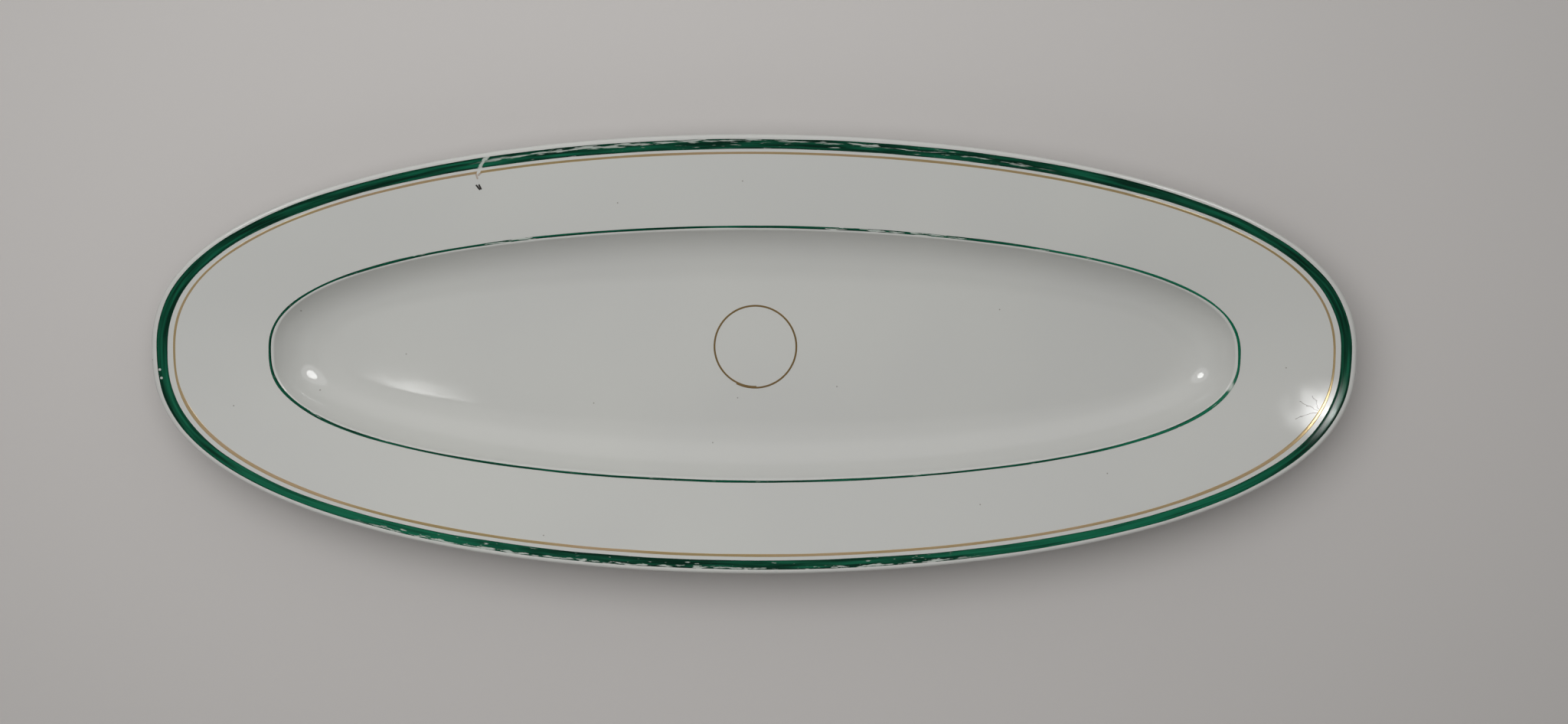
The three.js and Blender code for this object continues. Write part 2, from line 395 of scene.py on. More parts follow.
# %% Lay one row of a grid for each point of the section
def lay_rows(nodes, section, segments):
    """A grid, each grid point's turn round the platter, and the number of its row."""
    rows = nodes.add("GeometryNodeAttributeDomainSize", {"component": "MESH"}, {0: section}, "Point Count")
    sockets = {"Size X": 1.0, "Size Y": 1.0, "Vertices X": segments + 1, "Vertices Y": rows}
    grid = nodes.add("GeometryNodeMeshGrid", {}, sockets, "Mesh")
    column, row, _ = nodes.split(nodes.add("GeometryNodeInputPosition"))
    turn = (column + 0.5) * (2 * math.pi)
    row_number = ((row + 0.5) * (rows - 1)).apply("ROUND")
    return grid, turn, row_number


def section_values(nodes, section, row_number):
    """What a row takes from its point: the half-length of its ring, its height and its share."""
    where = nodes.add("GeometryNodeInputPosition")
    sample = {"Geometry": section, "Value": where, "Index": row_number}
    place = nodes.add("GeometryNodeSampleIndex", {"data_type": "FLOAT_VECTOR"}, sample)
    half_length, _, height = nodes.split(place)
    share = nodes.add("GeometryNodeInputNamedAttribute", {"data_type": "FLOAT"}, {"Name": "share"})
    sample = {"Geometry": section, "Value": share, "Index": row_number}
    share = nodes.add("GeometryNodeSampleIndex", {"data_type": "FLOAT"}, sample)
    return half_length, height, share


print("Each row will have", SEGMENTS_ROUND, "segments")

# %% Let a hand slide the edges of a line
EDGES_APART = 0.1
FULL_SWING = 4


def hand_slip(nodes, size, lengthwise, across, half_length, share):
    """How far a ring slides outwards: the wobble of the hand, less what broadens the line inwards.

    The two edges of a line read the noise far apart, so they wobble on their own. Noise keeps within about
    a quarter of its middle, so the full swing makes that the whole wobble.
    """
    round_trip = {
        "X": lengthwise * half_length,
        "Y": across * size["Rim Half Width"],
        "Z": share * EDGES_APART,
    }
    hand_sockets = {
        "Vector": nodes.add("ShaderNodeCombineXYZ", {}, round_trip),
        "W": size["Seed"],
        "Scale": size["Wobbles Per Metre"],
        "Detail": 1.0,
    }
    hand = nodes.add("ShaderNodeTexNoise", {"noise_dimensions": "4D"}, hand_sockets)
    far_side = across.rise(0.1, 0.9)
    near_side = across.fall(-0.9, -0.1)
    near_ends = abs(lengthwise).rise(0.60, 0.90) * across.fall(-0.35, -0.05)
    broader = size["Far Side Broadening"] * far_side + size["Near Side Broadening"] * near_side
    broader = broader + size["Near Ends Broadening"] * near_ends
    return (hand - 0.5) * size["Hand Wobble"] * FULL_SWING - (1 - share) * broader


print("A wobble reads noise", EDGES_APART, "metres apart for the two edges")


# %% Pull the rows into ovals
def oval_place(nodes, size, lengthwise, across, half_length, height):
    """A point's place on its oval. In the well the ring is an even inset, and on the flange it grows."""
    well = size["Well Half Length"]
    well_width = size["Well Half Width"]
    outward = (half_length - well) / (size["Rim Half Length"] - well)
    on_flange = well_width + (size["Rim Half Width"] - well_width) * outward
    on_wall = well_width - (well - half_length)
    floor_half_width = well_width - (well - size["Floor Half Length"])
    on_floor = half_length * floor_half_width / size["Floor Half Length"]
    half_width = on_floor.at_least(on_wall.at_most(on_flange))

    change = outward.at_least(0.0)
    well_along = size["Well Power Along"]
    well_across = size["Well Power Across"]
    power_along = well_along + (size["Rim Power Along"] - well_along) * change
    power_across = well_across + (size["Rim Power Across"] - well_across) * change
    reach = (1 - abs(across) ** power_across).at_least(0.0) ** (1 / power_along)
    x = half_length * reach * lengthwise.apply("SIGN")
    return nodes.add("ShaderNodeCombineXYZ", {}, {"X": x, "Y": half_width * across, "Z": height})


def wire_oval_tree():
    nodes = Nodes(oval_tree)
    group = nodes.add("NodeGroupInput").output.node
    section = Wire(nodes, group.outputs["Section"])
    size = {name: Wire(nodes, group.outputs[name]) for name in ("Segments", "Material", *OVAL_SIZES)}
    grid, turn, row_number = lay_rows(nodes, section, size["Segments"])
    half_length, height, share = section_values(nodes, section, row_number)
    across = turn.apply("SINE")
    lengthwise = turn.apply("COSINE")

    slip = hand_slip(nodes, size, lengthwise, across, half_length, share)
    half_length = half_length + slip
    past_edge = (size["Well Half Length"] - half_length).at_least(0.0)
    height = height + slip * size["Flange Slope"].apply("TANGENT")
    height = height - size["Shoulder Drop"] * past_edge * past_edge
    place = oval_place(nodes, size, lengthwise, across, half_length, height)

    store = {"Geometry": grid, "Name": "share", "Value": share}
    shaped = nodes.add("GeometryNodeStoreNamedAttribute", {"data_type": "FLOAT", "domain": "POINT"}, store)
    shaped = nodes.add("GeometryNodeSetPosition", {}, {"Geometry": shaped, "Position": place})
    shaped = nodes.add("GeometryNodeMergeByDistance", {}, {"Geometry": shaped, "Distance": 1e-6})
    shaped = nodes.add("GeometryNodeRealizeInstances", {}, {"Geometry": shaped})
    shaped = nodes.add("GeometryNodeSetMaterial", {}, {"Geometry": shaped, "Material": size["Material"]})
    nodes.add("NodeGroupOutput", {}, {"Geometry": shaped})


wire_oval_tree()
print("Oval tree:", len(oval_tree.nodes), "nodes")

# %% [markdown]
# The tree is used through one function. It makes the section's points, hangs the tree on them, turns the
# result into a plain mesh, and smooths it everywhere but on sharp corners such as the edge of the foot.

# %% Make a skin from a section
RIM_POWER_ALONG = 2.01
RIM_POWER_ACROSS = 2.39
WELL_POWER_ALONG = 1.89
WELL_POWER_ACROSS = 2.54
SHARP_CORNER = math.radians(40)

platter_ovals = {
    "Segments": SEGMENTS_ROUND,
    "Rim Half Length": rim_half_length,
    "Rim Half Width": rim_half_width,
    "Well Half Length": well_half_length,
    "Well Half Width": well_half_width,
    "Floor Half Length": floor_edge,
    "Rim Power Along": RIM_POWER_ALONG,
    "Rim Power Across": RIM_POWER_ACROSS,
    "Well Power Along": WELL_POWER_ALONG,
    "Well Power Across": WELL_POWER_ACROSS,
    "Flange Slope": flange_slope,
    "Hand Wobble": 0.0,
    "Wobbles Per Metre": 0.0,
    "Seed": 0.0,
    "Far Side Broadening": 0.0,
    "Near Side Broadening": 0.0,
    "Near Ends Broadening": 0.0,
    "Shoulder Drop": 0.0,
}


def plain_mesh(piece, modifier):
    """Turns what the modifier makes into the piece's own mesh."""
    evaluated = piece.evaluated_get(bpy.context.evaluated_depsgraph_get())
    mesh = bpy.data.meshes.new_from_object(evaluated)
    piece.modifiers.remove(modifier)
    piece.data = mesh
    mesh.shade_smooth()
    mesh.set_sharp_from_angle(angle=SHARP_CORNER)
    print(piece.name, "has", len(mesh.polygons), "faces")


def oval_skin(name, section, material, shares=None, **changes):
    """A closed skin from a section that runs anticlockwise, with its points' shares for the finish."""
    points = bpy.data.meshes.new(name)
    points.from_pydata([(p.x, 0, p.y) for p in section], [], [])
    share = points.attributes.new("share", "FLOAT", "POINT")
    share.data.foreach_set("value", shares or [0.0] * len(section))
    piece = bpy.data.objects.new(name, points)
    scene.collection.objects.link(piece)
    ovals = piece.modifiers.new("Ovals", "NODES")
    ovals.node_group = oval_tree
    for size_name, value in {**platter_ovals, **changes, "Material": material}.items():
        ovals[oval_inputs[size_name]] = value
    plain_mesh(piece, ovals)
    return piece


print("Sizes set for every skin:", len(platter_ovals))

# %% [markdown]
# ## Finishes
# All the finishes are worked out from formulas, so they hold at any distance. They read the piece's own
# coordinates in metres, and an attribute called share. On the painted lines it runs from 0 at a line's
# inner edge to 1 at its outer edge, and on the glaze it is 1 on the face and 0 underneath. A function
# opens each material and one closes it, so each finish only says what is special about it.

# %% Open and close a material
def open_material(name):
    material = bpy.data.materials.new(name)
    material.use_nodes = True
    material.node_tree.nodes.clear()
    nodes = Nodes(material.node_tree)
    place = nodes.add("ShaderNodeTexCoord", output="Object")
    return material, nodes, place


def close_material(nodes, **sockets):
    named = {name.replace("_", " "): value for name, value in sockets.items()}
    surface = nodes.add("ShaderNodeBsdfPrincipled", {}, named, "BSDF")
    nodes.add("ShaderNodeOutputMaterial", {}, {"Surface": surface})


def own_share(nodes):
    """The piece's own attribute, which its section gave it."""
    return nodes.add("ShaderNodeAttribute", {"attribute_name": "share"}, output="Fac")


print("Helpers ready:", open_material.__name__, close_material.__name__, own_share.__name__)


# %% Blend colours, and add noise and relief
def blend(factor, first, second):
    """A colour between two others."""
    settings = {"data_type": "RGBA"}
    sockets = {0: factor, 6: first, 7: second}
    return factor.nodes.add("ShaderNodeMix", settings, sockets, 2)


def noise(place, per_metre, detail=2.0, w=None):
    """Cloudy noise about 0.5. A fourth coordinate, where given, counts clouds and not metres."""
    dimensions = "3D" if w is None else "4D"
    sockets = {"Vector": place, "Scale": per_metre, "Detail": detail}
    if w is not None:
        sockets["W"] = w / per_metre
    return place.nodes.add("ShaderNodeTexNoise", {"noise_dimensions": dimensions}, sockets)


def relief(height, depth):
    """A Bump node for a height between 0 and 1, whose full depth is given in metres."""
    return height.nodes.add("ShaderNodeBump", {}, {"Height": height, "Distance": depth, "Strength": 1.0})


def wandering(place, x, y, per_metre, reach):
    """The coordinates in plan, shaken by noise, so that a straight stroke comes out ragged."""
    wavy_x = x + (noise(place, per_metre[0]) - 0.5) * reach
    wavy_y = y + (noise(place, per_metre[1]) - 0.5) * reach
    return wavy_x, wavy_y


print("Helpers ready:", blend.__name__, noise.__name__, relief.__name__, wandering.__name__)


# %% Make masks from spots and strokes
def from_spot(x, y, spot):
    """Distance in plan from a spot."""
    squared = (x - spot[0]) * (x - spot[0]) + (y - spot[1]) * (y - spot[1])
    return squared ** 0.5


def from_stroke(x, y, start, end):
    """Distance in plan from a straight stroke between two points."""
    way = Vector(end) - Vector(start)
    share = ((x - start[0]) * way.x + (y - start[1]) * way.y) / way.length_squared
    share = share.at_least(0.0).at_most(1.0)
    side_x = x - start[0] - share * way.x
    side_y = y - start[1] - share * way.y
    return (side_x * side_x + side_y * side_y) ** 0.5


def most(masks):
    """The largest of some masks."""
    masks = list(masks)
    largest = masks[0]
    for mask in masks[1:]:
        largest = largest.at_least(mask)
    return largest


SCRAPE = ((-0.1297, 0.0999), (-0.1342, 0.0952), (-0.1361, 0.0905))
SCRAPE_WANDER = 0.0024
SCRAPE_FADE = (0.0004, 0.0009)


def scraped_off(place, x, y):
    """Mask of the one deep scrape across the rim, which took paint with it."""
    wavy_x, wavy_y = wandering(place, x, y, (420.0, 380.0), SCRAPE_WANDER)
    strokes = [from_stroke(wavy_x, wavy_y, start, end) for start, end in zip(SCRAPE, SCRAPE[1:])]
    return most(way.fall(*SCRAPE_FADE) for way in strokes)


print("The scrape has", len(SCRAPE) - 1, "strokes")

# %% [markdown]
# ### Glaze
# Porcelain glaze is a clear skin of glass over a white body, so it has a sharp gloss and hardly any
# colour of its own: a cool white that leans to green. Three things keep it from looking like plastic. The
# glaze ran a little before it set, so reflections waver. Iron in the clay left dark specks. And the years
# left their marks: hair cracks at one end, and a dark pit in the flange where a scrape over the rim ends.

# %% Paint the glaze
PORCELAIN = (0.545, 0.548, 0.522, 1)
PORCELAIN_SHADE = (0.528, 0.530, 0.510, 1)
IRON = (0.12, 0.10, 0.08, 1)
PIT = (0.03, 0.028, 0.025, 1)
RUST = (0.30, 0.20, 0.13, 1)
SPECK_RADIUS = 0.0005
SPECK_STRENGTH = 0.6
SPECKS = (
    (0.266, -0.005), (-0.179, -0.002), (-0.229, 0.021), (-0.222, -0.020),
    (-0.261, -0.026), (0.125, 0.022), (0.178, -0.059), (-0.006, 0.087),
    (-0.106, -0.091), (0.114, -0.075), (0.042, -0.018), (-0.009, -0.024),
    (-0.083, -0.027), (-0.068, 0.076), (-0.2995, -0.0025), (-0.0217, -0.047),
)
PIT_STROKES = (((-0.1373, 0.0843), (-0.1359, 0.0825)), ((-0.1360, 0.0845), (-0.1352, 0.0827)))
PIT_WIDTH = 0.0006
SCRAPE_TAIL = (((-0.1373, 0.0901), (-0.1367, 0.0878)), ((-0.1342, 0.0910), (-0.1361, 0.0894)))
TAIL_FADE = (0.0002, 0.0007)
TAIL_STRENGTH = 0.6
CRACK_ROOT = (0.2827, -0.0266)
CRACK_TIPS = ((0.2727, -0.0218), (0.2793, -0.0186), (0.2710, -0.0299))
CRACK_WIDTH = 0.00030
CRACK_WANDER = 0.003
CRACK_STRENGTH = 0.8
WAVER_DEPTH = 0.00004
GLASS_IOR = 1.5


def glaze_finish():
    material, nodes, place = open_material("glaze")
    x, y, _ = nodes.split(place)
    on_face = own_share(nodes)
    colour = blend(noise(place, 9.0).rise(0.3, 0.7), PORCELAIN, PORCELAIN_SHADE)

    speckle = most(from_spot(x, y, spot).fall(0.4 * SPECK_RADIUS, SPECK_RADIUS) for spot in SPECKS)
    colour = blend(speckle * on_face * SPECK_STRENGTH, colour, IRON)
    pit = most(from_stroke(x, y, *stroke).fall(0.5 * PIT_WIDTH, PIT_WIDTH) for stroke in PIT_STROKES)
    colour = blend(pit * on_face, colour, PIT)
    tail = most(from_stroke(x, y, *stroke).fall(*TAIL_FADE) for stroke in SCRAPE_TAIL)
    colour = blend(tail * on_face * TAIL_STRENGTH, colour, RUST)

    wavy_x, wavy_y = wandering(place, x, y, (300.0, 260.0), CRACK_WANDER)
    cracks = [from_stroke(wavy_x, wavy_y, CRACK_ROOT, tip) for tip in CRACK_TIPS]
    crack = most(way.fall(0.3 * CRACK_WIDTH, CRACK_WIDTH) for way in cracks)
    colour = blend(crack * on_face * CRACK_STRENGTH, colour, IRON)

    roughness = 0.04 + 0.03 * noise(place, 60.0)
    waver = relief(noise(place, 70.0, 1.0), WAVER_DEPTH)
    close_material(nodes, Base_Color=colour, Roughness=roughness, Normal=waver, IOR=GLASS_IOR)
    return material


glaze = glaze_finish()
print("Glaze:", len(SPECKS), "specks and", len(glaze.node_tree.nodes), "nodes")

# %% [markdown]
# ### Bare porcelain
# Only the edge of the foot is unglazed, so that the platter didn't stick to the kiln shelf. It is fine,
# matt and a little dirty from tables.

# %% Paint the bare porcelain
BISCUIT = (0.62, 0.58, 0.50, 1)
TABLE_DIRT = (0.30, 0.26, 0.21, 1)
GRAIN_DEPTH = 0.00003


def biscuit_finish():
    material, nodes, place = open_material("bare_porcelain")
    dirt = noise(place, 160.0, 5.0).rise(0.45, 0.75)
    grain = noise(place, 2500.0, 2.0)
    colour = blend(dirt * 0.5, BISCUIT, TABLE_DIRT)
    roughness = 0.75 + 0.2 * grain
    close_material(nodes, Base_Color=colour, Roughness=roughness, Normal=relief(grain, GRAIN_DEPTH))
    return material


biscuit = biscuit_finish()
print("Bare porcelain:", len(biscuit.node_tree.nodes), "nodes")

# %% [markdown]
# ### Green enamel
# The band and the verge line were laid on with a loaded brush while the platter turned. The colour runs
# in streaks along the line, pools dark at both edges, is a brighter green at a few listed places, and
# has flaked where plates were stacked and wiped.

# %% Paint the green enamel
GREEN_DEEP = (0.0012, 0.021, 0.011, 1)
GREEN_BRIGHT = (0.009, 0.165, 0.085, 1)
FLAKED = (0.46, 0.50, 0.46, 1)
BRIGHTER_LIFT = 0.22
BRIGHTER_REACH = (0.03, 0.12)
STREAK_DEPTH = 0.000012


def enamel_finish(name, flakes, brightness, brighter_places):
    """Enamel for one line, a brighter green near the listed places. Flakes gives the mask of what has come
    off.
    """
    material, nodes, place = open_material(name)
    x, y, _ = nodes.split(place)
    across = own_share(nodes)
    streaks = noise(place, 35.0, 3.0, across * 4.0)
    pooled = (abs(across - 0.5) * 2).rise(0.6, 1.0)
    # thin is 1 at the listed places where the green is brighter, and fades to 0 around them
    thin = most(from_spot(x, y, spot).fall(*BRIGHTER_REACH) for spot in brighter_places)
    bright = (streaks + BRIGHTER_LIFT * thin).rise(0.35, 0.80) * (1 - 0.6 * pooled) * brightness
    colour = blend(bright, GREEN_DEEP, GREEN_BRIGHT)
    bare = flakes(place, x, y, across)
    colour = blend(bare, colour, FLAKED)
    roughness = 0.05 + 0.06 * streaks
    ridges = relief(streaks, STREAK_DEPTH)
    close_material(nodes, Base_Color=colour, Roughness=roughness, Normal=ridges, IOR=GLASS_IOR)
    return material


def flaking(place, per_metre, across, rows):
    """Cloudy noise drawn out along a line, with several rows of flakes across its width."""
    return noise(place, per_metre, 4.0, across * rows)


print("Helpers ready:", enamel_finish.__name__, flaking.__name__)

# %% Paint and wear the band
BAND_BRIGHTNESS = 0.70
# Places where the band's green is brighter
BRIGHTER_BAND_PLACES = ((-0.200, -0.075), (0.185, -0.082))
WIPED_STRETCH = ((-0.142, -0.122), (0.130, 0.150))
WIPED_BREADTH = 0.22
NIBBLED_STRETCH = ((-0.205, -0.180), (0.090, 0.120))
NIBBLED_MIDDLE = 0.86
NIBBLED_BREADTH = 0.26
CHIPS = ((-0.2958, -0.0074), (-0.2951, -0.0116))
CHIP_FADE = (0.0004, 0.0008)


def stretch(x, ends):
    """1 along a stretch of the platter's length. Each end says where the soft change starts and stops."""
    return x.rise(*ends[0]) * x.fall(*ends[1])


def streak_at(across, middle, breadth):
    """1 in the middle of a streak along a line, and 0 from a breadth away on."""
    return 1 - (abs(across - middle) / breadth).at_most(1.0)


def band_flakes(place, x, y, across):
    """On the far side a wiped streak wanders over the band. On the near side the outer part is nibbled."""
    flakes = flaking(place, 140.0, across, 7.0)
    nibbles = flaking(place, 210.0, across, 5.0)
    # The wiped streak climbs outwards up to the middle of the platter, and comes back inwards past it.
    wiped_at = (0.64 + 1.8 * (x + 0.125)).at_most(0.88 - 3.6 * (x + 0.005))
    hard_wiped = 0.27 - 0.09 * x.rise(-0.05, 0.02)
    wiped = (flakes + hard_wiped * streak_at(across, wiped_at, WIPED_BREADTH)).rise(0.62, 0.74)
    far_flakes = y.rise(0.0, 0.02) * wiped * stretch(x, WIPED_STRETCH) * 0.8
    nibbled = (nibbles + 0.20 * streak_at(across, NIBBLED_MIDDLE, NIBBLED_BREADTH)).rise(0.64, 0.74)
    near_flakes = y.fall(-0.02, 0.0) * nibbled * stretch(x, NIBBLED_STRETCH) * 0.9
    chips = most(from_spot(x, y, chip).fall(*CHIP_FADE) for chip in CHIPS)
    return most((far_flakes, near_flakes, scraped_off(place, x, y) * 0.9, chips))


band_enamel = enamel_finish("band_enamel", band_flakes, BAND_BRIGHTNESS, BRIGHTER_BAND_PLACES)
print("Band:", len(band_enamel.node_tree.nodes), "nodes")

# %% Paint and wear the verge line
VERGE_BRIGHTNESS = 0.85
# Places where the verge line's green is brighter
BRIGHTER_VERGE_PLACES = ((0.215, 0.030), (0.239, -0.002))
WORN_STRETCHES = (((-0.140, -0.130), (-0.100, -0.090)), ((0.020, 0.035), (0.095, 0.110)))
VERGE_GAP = (0.2386, -0.0147)
GAP_FADE = (0.0012, 0.0035)


def verge_flakes(place, x, y, across):
    """Worn through most on two stretches of the far side, and missing at one spot on the right."""
    flakes = flaking(place, 110.0, across, 2.0)
    hard_worn = y.rise(0.0, 0.02) * most(stretch(x, ends) for ends in WORN_STRETCHES)
    worn = (flakes + 0.12 * hard_worn).rise(0.65, 0.69)
    gap = from_spot(x, y, VERGE_GAP).fall(*GAP_FADE)
    return most((worn, gap)) * 0.9


verge_enamel = enamel_finish("verge_enamel", verge_flakes, VERGE_BRIGHTNESS, BRIGHTER_VERGE_PLACES)
print("Verge line:", len(verge_enamel.node_tree.nodes), "nodes")

# %% [markdown]
# ### Gold
# The gold is a thin fired film, burnished once and then worn by washing. Where it is whole it is a metal,
# and where it is thin the glaze shows through it as a dull brown.

# %% Paint the gold
GOLD = (0.64, 0.48, 0.24, 1)
GOLD_THIN = (0.47, 0.34, 0.20, 1)
RING_GOLD = (0.34, 0.23, 0.095, 1)
RING_GOLD_THIN = (0.22, 0.145, 0.065, 1)


def gold_finish(name, whole, thin):
    material, nodes, place = open_material(name)
    x, y, _ = nodes.split(place)
    worn = noise(place, 18.0, 3.0).rise(0.35, 0.7)
    scraped = scraped_off(place, x, y)
    colour = blend(scraped, blend(worn, whole, thin), PORCELAIN)
    metal = (0.6 - 0.2 * worn) * (1 - scraped)
    close_material(nodes, Base_Color=colour, Roughness=0.12 + 0.13 * worn, Metallic=metal)
    return material


line_gold = gold_finish("line_gold", GOLD, GOLD_THIN)
ring_gold = gold_finish("ring_gold", RING_GOLD, RING_GOLD_THIN)
print("Finishes:", ", ".join(m.name for m in bpy.data.materials))

# %% [markdown]
# ## Body and glaze
# The body is one closed solid, and the glaze is a thin closed coat over its face and underside, with a
# second coat inside the foot ring. A quicker way is one mesh with two materials, but then a broken edge
# or a worn foot couldn't show the body under its coat, as it does on the real thing.

# %% Make the body and its coats
foot_contact = [Vector((foot_inner + foot_bevel, 0)), Vector((foot_outer - foot_bevel, 0))]
body = oval_skin("bare_body", base + foot_contact + skin[::-1], biscuit)
rim_point = max(range(len(skin)), key=lambda i: skin[i].x)
on_face = [1.0 if i <= rim_point else 0.0 for i in range(len(skin))]
face_glaze = oval_skin("face_glaze", skin + glazed_skin[::-1], glaze, on_face + on_face[::-1])
base_glaze = oval_skin("base_glaze", glazed_base + base[::-1], glaze)

# %% [markdown]
# ## Painted lines
# A painted line is a film that follows the flange. Its edges are never quite even, because a hand held
# the brush: the tree's wobble slides each edge along the slope of the flange. The rings close up along
# the two long sides, where the flange is narrower, but a brush doesn't, so the lines are broadened there,
# and the two thin ones at both ends of the near side too. Where the verge line runs past the edge of the
# flange, it bends down over the shoulder with the glaze. The film is thin at its edges and full in the
# middle, as paint is.

# %% Paint the lines on the flange
FILM_STEPS = 10


def film_section(low, high, thickness):
    """The section of a film that lies on the flange inside its box, and its points' shares."""
    rise = high.z - low.z - thickness * flange_up.y
    outer = Vector((high.x, high.z - thickness * flange_up.y))
    inner = outer - rise * Vector((1 / math.tan(flange_slope), 1))
    shares = [0.5 - 0.5 * math.cos(math.pi * i / FILM_STEPS) for i in range(FILM_STEPS + 1)]
    under = [inner.lerp(outer, share) for share in shares]
    fullness = [(1 - abs(2 * share - 1) ** 6) ** 0.5 for share in shares]
    over = [point + full * thickness * flange_up for point, full in zip(under, fullness)]
    section = under + over[-2::-1]
    return section, shares + shares[-2::-1]


def painted_line(name, node, thickness, material, hand):
    low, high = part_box(node)
    section, shares = film_section(low, high, thickness)
    return oval_skin(name, section, material, shares, **hand)


band_hand = {
    "Hand Wobble": 0.00025, "Wobbles Per Metre": 30.0, "Seed": 1.0,
    "Far Side Broadening": 0.0009, "Near Side Broadening": 0.0003,
}
gold_hand = {
    "Hand Wobble": 0.00012, "Wobbles Per Metre": 30.0, "Seed": 5.0,
    "Far Side Broadening": 0.0004, "Near Side Broadening": 0.0006, "Near Ends Broadening": 0.0007,
}
verge_hand = {
    "Hand Wobble": 0.00025, "Wobbles Per Metre": 25.0, "Seed": 9.0,
    "Far Side Broadening": 0.0003, "Near Side Broadening": 0.0002, "Near Ends Broadening": 0.0005,
    "Shoulder Drop": 0.5 / (SHOULDER_RADIUS + GLAZE_THICKNESS),
}
band = painted_line("rim_band", "green_rim_band", ENAMEL_THICKNESS, band_enamel, band_hand)
gold_line = painted_line("rim_gold_line", "gold_rim_line", GOLD_THICKNESS, line_gold, gold_hand)
verge_line = painted_line("verge_line", "green_verge_line", ENAMEL_THICKNESS, verge_enamel, verge_hand)

# %% [markdown]
# ## The ring in the middle
# The ring was one stroke of a fine brush, a little more than once round, so its end lies over its start.
# A torus would close too neatly. A spiral does what the brush did: it goes round once and a bit, and
# climbs by the thickness of the film. A flat oval swept along it is the paint.

# %% Build the tree for a brush stroke
stroke_tree = bpy.data.node_groups.new("Brush stroke", "GeometryNodeTree")
stroke_tree.interface.new_socket(name="Geometry", in_out="OUTPUT", socket_type="NodeSocketGeometry")
STROKE_SIZES = ("Turns", "Start Radius", "End Radius", "Climb", "Width", "Thickness")
STEPS_ROUND = 240
BRUSH_SIDES = 12
stroke_inputs = {name: tree_input(stroke_tree, name, "NodeSocketFloat") for name in STROKE_SIZES}
stroke_inputs["Material"] = tree_input(stroke_tree, "Material", "NodeSocketMaterial")


def wire_stroke_tree():
    nodes = Nodes(stroke_tree)
    group = nodes.add("NodeGroupInput").output.node
    size = {name: Wire(nodes, group.outputs[name]) for name in stroke_inputs}
    path_sockets = {
        "Resolution": STEPS_ROUND,
        "Rotations": size["Turns"],
        "Start Radius": size["Start Radius"],
        "End Radius": size["End Radius"],
        "Height": size["Climb"],
    }
    path = nodes.add("GeometryNodeCurveSpiral", {}, path_sockets)
    path = nodes.add("GeometryNodeSetCurveNormal", {"mode": "Z_UP"}, {"Curve": path})
    along = nodes.add("GeometryNodeSplineParameter", output="Factor")
    ends = (abs(along - 0.5) * 2).rise(0.82, 1.0)
    place = nodes.add("GeometryNodeInputPosition")
    swell = 0.2 + 1.6 * noise(place, 70.0, 1.0)
    pressure = swell * (1 - 0.9 * ends)
    path = nodes.add("GeometryNodeSetCurveRadius", {}, {"Curve": path, "Radius": pressure})
    brush = nodes.add("GeometryNodeCurvePrimitiveCircle", {}, {"Resolution": BRUSH_SIDES, "Radius": 0.5})
    flatness = {"X": size["Width"], "Y": size["Thickness"] * 2, "Z": 1.0}
    flat = nodes.add("ShaderNodeCombineXYZ", {}, flatness)
    brush = nodes.add("GeometryNodeTransform", {}, {"Geometry": brush, "Scale": flat})
    sweep = {"Curve": path, "Profile Curve": brush, "Fill Caps": True}
    paint = nodes.add("GeometryNodeCurveToMesh", {}, sweep)
    paint = nodes.add("GeometryNodeRealizeInstances", {}, {"Geometry": paint})
    paint = nodes.add("GeometryNodeSetMaterial", {}, {"Geometry": paint, "Material": size["Material"]})
    nodes.add("NodeGroupOutput", {}, {"Geometry": paint})


wire_stroke_tree()
print("Stroke tree:", len(stroke_tree.nodes), "nodes")

# %% Brush the ring
RING_WIDTH = 0.00095
RING_TURNS = 1.08
RING_DRIFT = 0.0005
RING_START = math.radians(272)

ring_middle = (ring_low + ring_high) / 2
ring_radius = (ring_high.x - ring_low.x - RING_WIDTH) / 2
ring = bpy.data.objects.new("centre_ring", bpy.data.meshes.new("centre_ring"))
scene.collection.objects.link(ring)
stroke = ring.modifiers.new("Stroke", "NODES")
stroke.node_group = stroke_tree
stroke_values = {
    "Turns": RING_TURNS,
    "Start Radius": ring_radius - RING_DRIFT / 2,
    "End Radius": ring_radius + RING_DRIFT / 2,
    "Climb": GOLD_THICKNESS,
    "Width": RING_WIDTH,
    "Thickness": GOLD_THICKNESS,
    "Material": ring_gold,
}
for size_name, value in stroke_values.items():
    stroke[stroke_inputs[size_name]] = value
plain_mesh(ring, stroke)
ring_turn = Matrix.Rotation(RING_START, 4, "Z")
ring_place = Matrix.Translation((ring_middle.x, ring_middle.y, ring_low.z))
ring.data.transform(ring_place @ ring_turn)
print("Ring about", [round(v, 4) for v in ring_middle])

# %% [markdown]
# ## Floor and light
# The stage is a pale floor with soft light. Most of it comes from the whole sky, which is brighter
# towards the far side and a little towards the left, dimmer towards both ends, and dark straight
# overhead, so that the gloss doesn't veil the deep green. A broad light above adds to it without a
# reflection of its own. Round lamps give the glaze its spots, each with a larger, dimmer lamp behind it
# for a soft halo. Rows of small lamps with honeycomb grids lay a glow on the right end of the flange and
# a pale streak on the floor of the well.

# %% Lay the floor and light it from the sky
FLOOR_COLOUR = (0.54, 0.52, 0.505, 1)
FLOOR_SIZE = 12
SKY_COLOUR = (1.0, 0.99, 0.98, 1)
SKY_SIDES = 0.56
SKY_TOP = 0.05
SKY_FAR_LEAN = 0.30
SKY_LEFT_LEAN = 0.12
SKY_END_SHADE = 0.80

floor_material, floor_nodes, _ = open_material("pale_floor")
close_material(floor_nodes, Base_Color=FLOOR_COLOUR, Roughness=0.9)
bpy.ops.mesh.primitive_plane_add(size=FLOOR_SIZE)
floor = bpy.context.object
floor.name = "floor"
floor.data.materials.append(floor_material)

